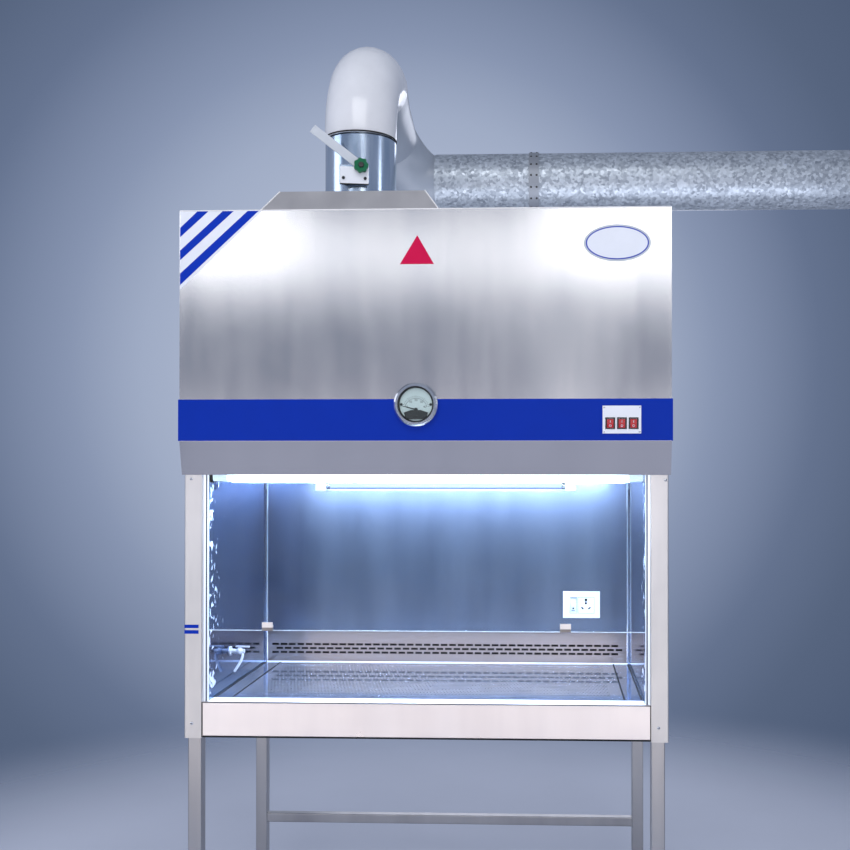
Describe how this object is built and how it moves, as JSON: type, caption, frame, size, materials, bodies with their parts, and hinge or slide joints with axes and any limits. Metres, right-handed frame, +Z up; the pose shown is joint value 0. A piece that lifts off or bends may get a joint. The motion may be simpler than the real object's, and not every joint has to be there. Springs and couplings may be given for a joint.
{
  "type": "biosafety cabinet",
  "caption": "Ducted biosafety cabinet on a steel stand with sliding glass sash, slotted rear wall, lift-out tray, blower, filters, exhaust hood, damper and duct.",
  "frame": {"origin": "middle of the sole of the front left foot, on the floor", "axes": "+Z up, +Y away from the user towards the rear wall, +X to the user's right along the work opening"},
  "size_m": [2.1828, 1.3239, 2.7832],
  "materials": {
    "stand_steel": "satin brushed stainless",
    "panel_steel": "satin brushed stainless sheet",
    "liner_steel": "bright stainless sheet",
    "tray_steel": "polished stainless",
    "hood_steel": "dull stainless sheet",
    "galvanised": "spangled zinc coat",
    "blue_paint": "gloss blue",
    "white_duct": "gloss white",
    "grey_duct": "grey",
    "glass": "clear toughened",
    "lamp_glass": "white fluorescent tube",
    "white_plastic": "gloss white",
    "black_plastic": "black",
    "red_plastic": "gloss red",
    "green_plastic": "dark green",
    "filter": "pleated paper",
    "cast_weight": "painted grey",
    "lever_paint": "white",
    "cable": "wire rope"
  },
  "bodies": {
    "cabinet": {"leg_front_left": "stand_steel", "leg_front_right": "stand_steel", "leg_rear_left": "stand_steel", "leg_rear_right": "stand_steel", "rear_crossbar": "stand_steel", "front_post_left": "panel_steel", "front_post_right": "panel_steel", "side_panel_left": "panel_steel", "side_panel_right": "panel_steel", "rear_panel": "panel_steel", "base_front_panel": "panel_steel", "liner_side_left": "liner_steel", "liner_side_right": "liner_steel", "rear_wall": "liner_steel", "work_basin": "liner_steel", "ceiling_panel": "liner_steel", "sash_guide_left": "panel_steel", "sash_guide_right": "panel_steel", "sash_cable_left": "cable", "sash_cable_right": "cable", "pulley_beam": "panel_steel", "canopy_casing": "panel_steel", "blue_band": "blue_paint", "gauge_case": "stand_steel", "gauge_lens": "glass", "switch_plate": "white_plastic", "socket_plate": "white_plastic", "uv_lamp_fitting": "white_plastic", "uv_lamp": "lamp_glass", "work_lamp": "lamp_glass", "valve_body": "white_plastic", "supply_filter": "filter", "plenum": "liner_steel", "exhaust_filter": "filter", "blower_housing": "liner_steel", "blower_motor": "hood_steel", "exhaust_hood": "hood_steel", "exhaust_collar": "galvanised", "duct_elbow": "white_duct", "rear_duct": "grey_duct", "main_duct": "galvanised"},
    "sash": {"sash_glass": "glass", "sash_clip_left": "panel_steel", "sash_clip_right": "panel_steel", "sash_top_rail": "panel_steel"},
    "counterweight_left_body": {"counterweight_left": "cast_weight"},
    "counterweight_right_body": {"counterweight_right": "cast_weight"},
    "pulley_left_body": {"pulley_left": "white_plastic"},
    "pulley_right_body": {"pulley_right": "white_plastic"},
    "tray": {"work_tray": "tray_steel"},
    "rocker_1_body": {"rocker_1": "red_plastic"},
    "rocker_2_body": {"rocker_2": "red_plastic"},
    "rocker_3_body": {"rocker_3": "red_plastic"},
    "wall_switch_body": {"wall_switch": "white_plastic"},
    "pointer": {"gauge_pointer": "black_plastic"},
    "damper": {"damper_blade": "galvanised", "damper_lever": "lever_paint"},
    "knob": {"damper_knob": "green_plastic"},
    "valve_lever": {"valve_handle": "white_plastic"},
    "blower_wheel": {"blower_impeller": "galvanised"}
  },
  "joints": [
    {"name": "sash_slide", "type": "slide", "parent": "cabinet", "child": "sash", "axis": [0, 0, 1], "range_m": [-0.197, 0.41], "deforming": ["sash_cable_left", "sash_cable_right"]},
    {"name": "counterweight_left_slide", "type": "slide", "parent": "cabinet", "child": "counterweight_left_body", "axis": [0, 0, 1], "range_m": [-0.41, 0.197]},
    {"name": "counterweight_right_slide", "type": "slide", "parent": "cabinet", "child": "counterweight_right_body", "axis": [0, 0, 1], "range_m": [-0.41, 0.197]},
    {"name": "pulley_left_spin", "type": "hinge", "parent": "cabinet", "child": "pulley_left_body", "pos_m": [0.0202, -0.0028, 2.07], "axis": [0, 1, 0], "range_deg": [-964, 464]},
    {"name": "pulley_right_spin", "type": "hinge", "parent": "cabinet", "child": "pulley_right_body", "pos_m": [1.269, -0.0028, 2.07], "axis": [0, 1, 0], "range_deg": [-464, 964]},
    {"name": "work_tray_lift", "type": "slide", "parent": "cabinet", "child": "tray", "axis": [0, 0, 1], "range_m": [0, 0.1]},
    {"name": "rocker_1_tilt", "type": "hinge", "parent": "cabinet", "child": "rocker_1_body", "pos_m": [1.1565, -0.0494, 1.5365], "axis": [1, 0, 0], "range_deg": [-24, 0]},
    {"name": "rocker_2_tilt", "type": "hinge", "parent": "cabinet", "child": "rocker_2_body", "pos_m": [1.1883, -0.0494, 1.5365], "axis": [1, 0, 0], "range_deg": [-24, 0]},
    {"name": "rocker_3_tilt", "type": "hinge", "parent": "cabinet", "child": "rocker_3_body", "pos_m": [1.2201, -0.0494, 1.5365], "axis": [1, 0, 0], "range_deg": [-24, 0]},
    {"name": "wall_switch_tilt", "type": "hinge", "parent": "cabinet", "child": "wall_switch_body", "pos_m": [1.0693, 0.5869, 0.9577], "axis": [1, 0, 0], "range_deg": [-24, 0]},
    {"name": "gauge_pointer_turn", "type": "hinge", "parent": "cabinet", "child": "pointer", "pos_m": [0.6251, -0.0552, 1.5745], "axis": [0, 1, 0], "range_deg": [0, 150], "stiffness_Nm_per_rad": 0.0001, "springref_deg": -57.3},
    {"name": "damper_turn", "type": "hinge", "parent": "cabinet", "child": "damper", "pos_m": [0.4086, 0.2992, 2.311], "axis": [-0.1805, 0.9836, 0], "range_deg": [-36.8, 53.2]},
    {"name": "damper_knob_turn", "type": "hinge", "parent": "damper", "child": "knob", "pos_m": [0.4086, 0.2992, 2.311], "axis": [0.1805, -0.9836, 0], "range_deg": [0, 270]},
    {"name": "valve_turn", "type": "hinge", "parent": "cabinet", "child": "valve_lever", "pos_m": [0.0649, 0.1902, 0.8773], "axis": [0, 0, 1], "range_deg": [0, 90]},
    {"name": "blower_spin", "type": "hinge", "parent": "cabinet", "child": "blower_wheel", "pos_m": [0.8546, 0.3252, 1.8414], "axis": [1, 0, 0], "continuous": true}
  ],
  "couplings": [
    {"joint": "counterweight_left_slide", "follows": "sash_slide", "ratio": -1},
    {"joint": "counterweight_right_slide", "follows": "sash_slide", "ratio": -1},
    {"joint": "pulley_left_spin", "follows": "sash_slide", "rad_per_m": -40.98},
    {"joint": "pulley_right_spin", "follows": "sash_slide", "rad_per_m": 40.98}
  ]
}
